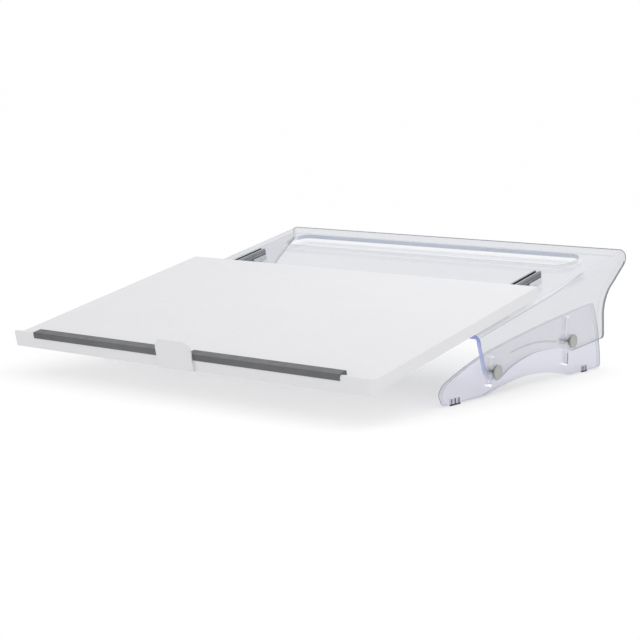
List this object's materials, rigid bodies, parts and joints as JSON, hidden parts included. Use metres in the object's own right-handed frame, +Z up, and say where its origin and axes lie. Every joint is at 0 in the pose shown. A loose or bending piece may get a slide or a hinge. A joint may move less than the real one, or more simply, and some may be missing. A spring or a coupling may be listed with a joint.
{
  "type": "document holder with drawer",
  "caption": "Sloping clear document holder on two adjustable legs, with a sliding white writing tray, page-stop strips and a formed pen tray.",
  "frame": {"origin": "centre of the footprint's bounding box at floor level", "axes": "+X to the user's right along the wide side, +Y to the back, +Z up; the deck slopes up towards +Y"},
  "size_m": [0.5334, 0.5204, 0.1393],
  "materials": {
    "clear_acrylic": "polished clear",
    "clear_washer": "translucent",
    "white_plastic": "satin",
    "dark_channel": "matt",
    "dark_strip": "matt",
    "runner_plastic": "smooth",
    "knob_plastic": "satin",
    "nut_plastic": "matt",
    "foot_rubber": "matt",
    "steel": "plated"
  },
  "bodies": {
    "holder": {"clear_body": "clear_acrylic", "left_rail": "dark_channel", "right_rail": "dark_channel", "rail_end_stops": "dark_channel", "rail_screws": "steel", "rail_nuts": "steel", "knob_washers": "clear_washer", "left_rear_clamp_nut": "nut_plastic", "right_rear_clamp_nut": "nut_plastic"},
    "tray": {"document_tray": "white_plastic", "left_lip_strip": "dark_strip", "right_lip_strip": "dark_strip", "left_runner": "runner_plastic", "right_runner": "runner_plastic", "runner_screws": "steel"},
    "left_tilt_nut": {"left_front_clamp_nut": "nut_plastic"},
    "left_leg_assembly": {"left_leg": "clear_acrylic", "left_front_foot": "foot_rubber", "left_rear_foot": "foot_rubber"},
    "left_front_knob_assembly": {"left_front_knob": "knob_plastic", "left_front_stud": "steel"},
    "left_rear_knob_assembly": {"left_rear_knob": "knob_plastic", "left_rear_stud": "steel"},
    "right_tilt_nut": {"right_front_clamp_nut": "nut_plastic"},
    "right_leg_assembly": {"right_leg": "clear_acrylic", "right_front_foot": "foot_rubber", "right_rear_foot": "foot_rubber"},
    "right_front_knob_assembly": {"right_front_knob": "knob_plastic", "right_front_stud": "steel"},
    "right_rear_knob_assembly": {"right_rear_knob": "knob_plastic", "right_rear_stud": "steel"}
  },
  "joints": [
    {"name": "tray_slide", "type": "slide", "parent": "holder", "child": "tray", "axis": [0, 0.9774, 0.2113], "range_m": [0, 0.105]},
    {"name": "left_leg_tilt", "type": "hinge", "parent": "holder", "child": "left_tilt_nut", "pos_m": [-0.25475, -0.02458, 0.02741], "axis": [1, 0, 0], "range_deg": [-4.3, 4.3]},
    {"name": "left_leg_lift", "type": "slide", "parent": "left_tilt_nut", "child": "left_leg_assembly", "axis": [0, 0.1426, 0.9898], "range_m": [-0.01275, 0.01275]},
    {"name": "left_front_knob_turn", "type": "hinge", "parent": "holder", "child": "left_front_knob_assembly", "pos_m": [-0.2625, -0.02458, 0.02741], "axis": [-1, 0, 0], "range_deg": [0, 360]},
    {"name": "left_rear_knob_turn", "type": "hinge", "parent": "holder", "child": "left_rear_knob_assembly", "pos_m": [-0.2625, 0.13422, 0.0425], "axis": [-1, 0, 0], "range_deg": [0, 360]},
    {"name": "right_leg_tilt", "type": "hinge", "parent": "holder", "child": "right_tilt_nut", "pos_m": [0.25475, -0.02458, 0.02741], "axis": [1, 0, 0], "range_deg": [-4.3, 4.3]},
    {"name": "right_leg_lift", "type": "slide", "parent": "right_tilt_nut", "child": "right_leg_assembly", "axis": [0, 0.1426, 0.9898], "range_m": [-0.01275, 0.01275]},
    {"name": "right_front_knob_turn", "type": "hinge", "parent": "holder", "child": "right_front_knob_assembly", "pos_m": [0.2625, -0.02458, 0.02741], "axis": [1, 0, 0], "range_deg": [0, 360]},
    {"name": "right_rear_knob_turn", "type": "hinge", "parent": "holder", "child": "right_rear_knob_assembly", "pos_m": [0.2625, 0.13422, 0.0425], "axis": [1, 0, 0], "range_deg": [0, 360]}
  ],
  "couplings": [
    {"joint": "left_leg_lift", "follows": "left_leg_tilt", "m_per_rad": 0.16922},
    {"joint": "right_leg_lift", "follows": "right_leg_tilt", "m_per_rad": 0.16922}
  ]
}
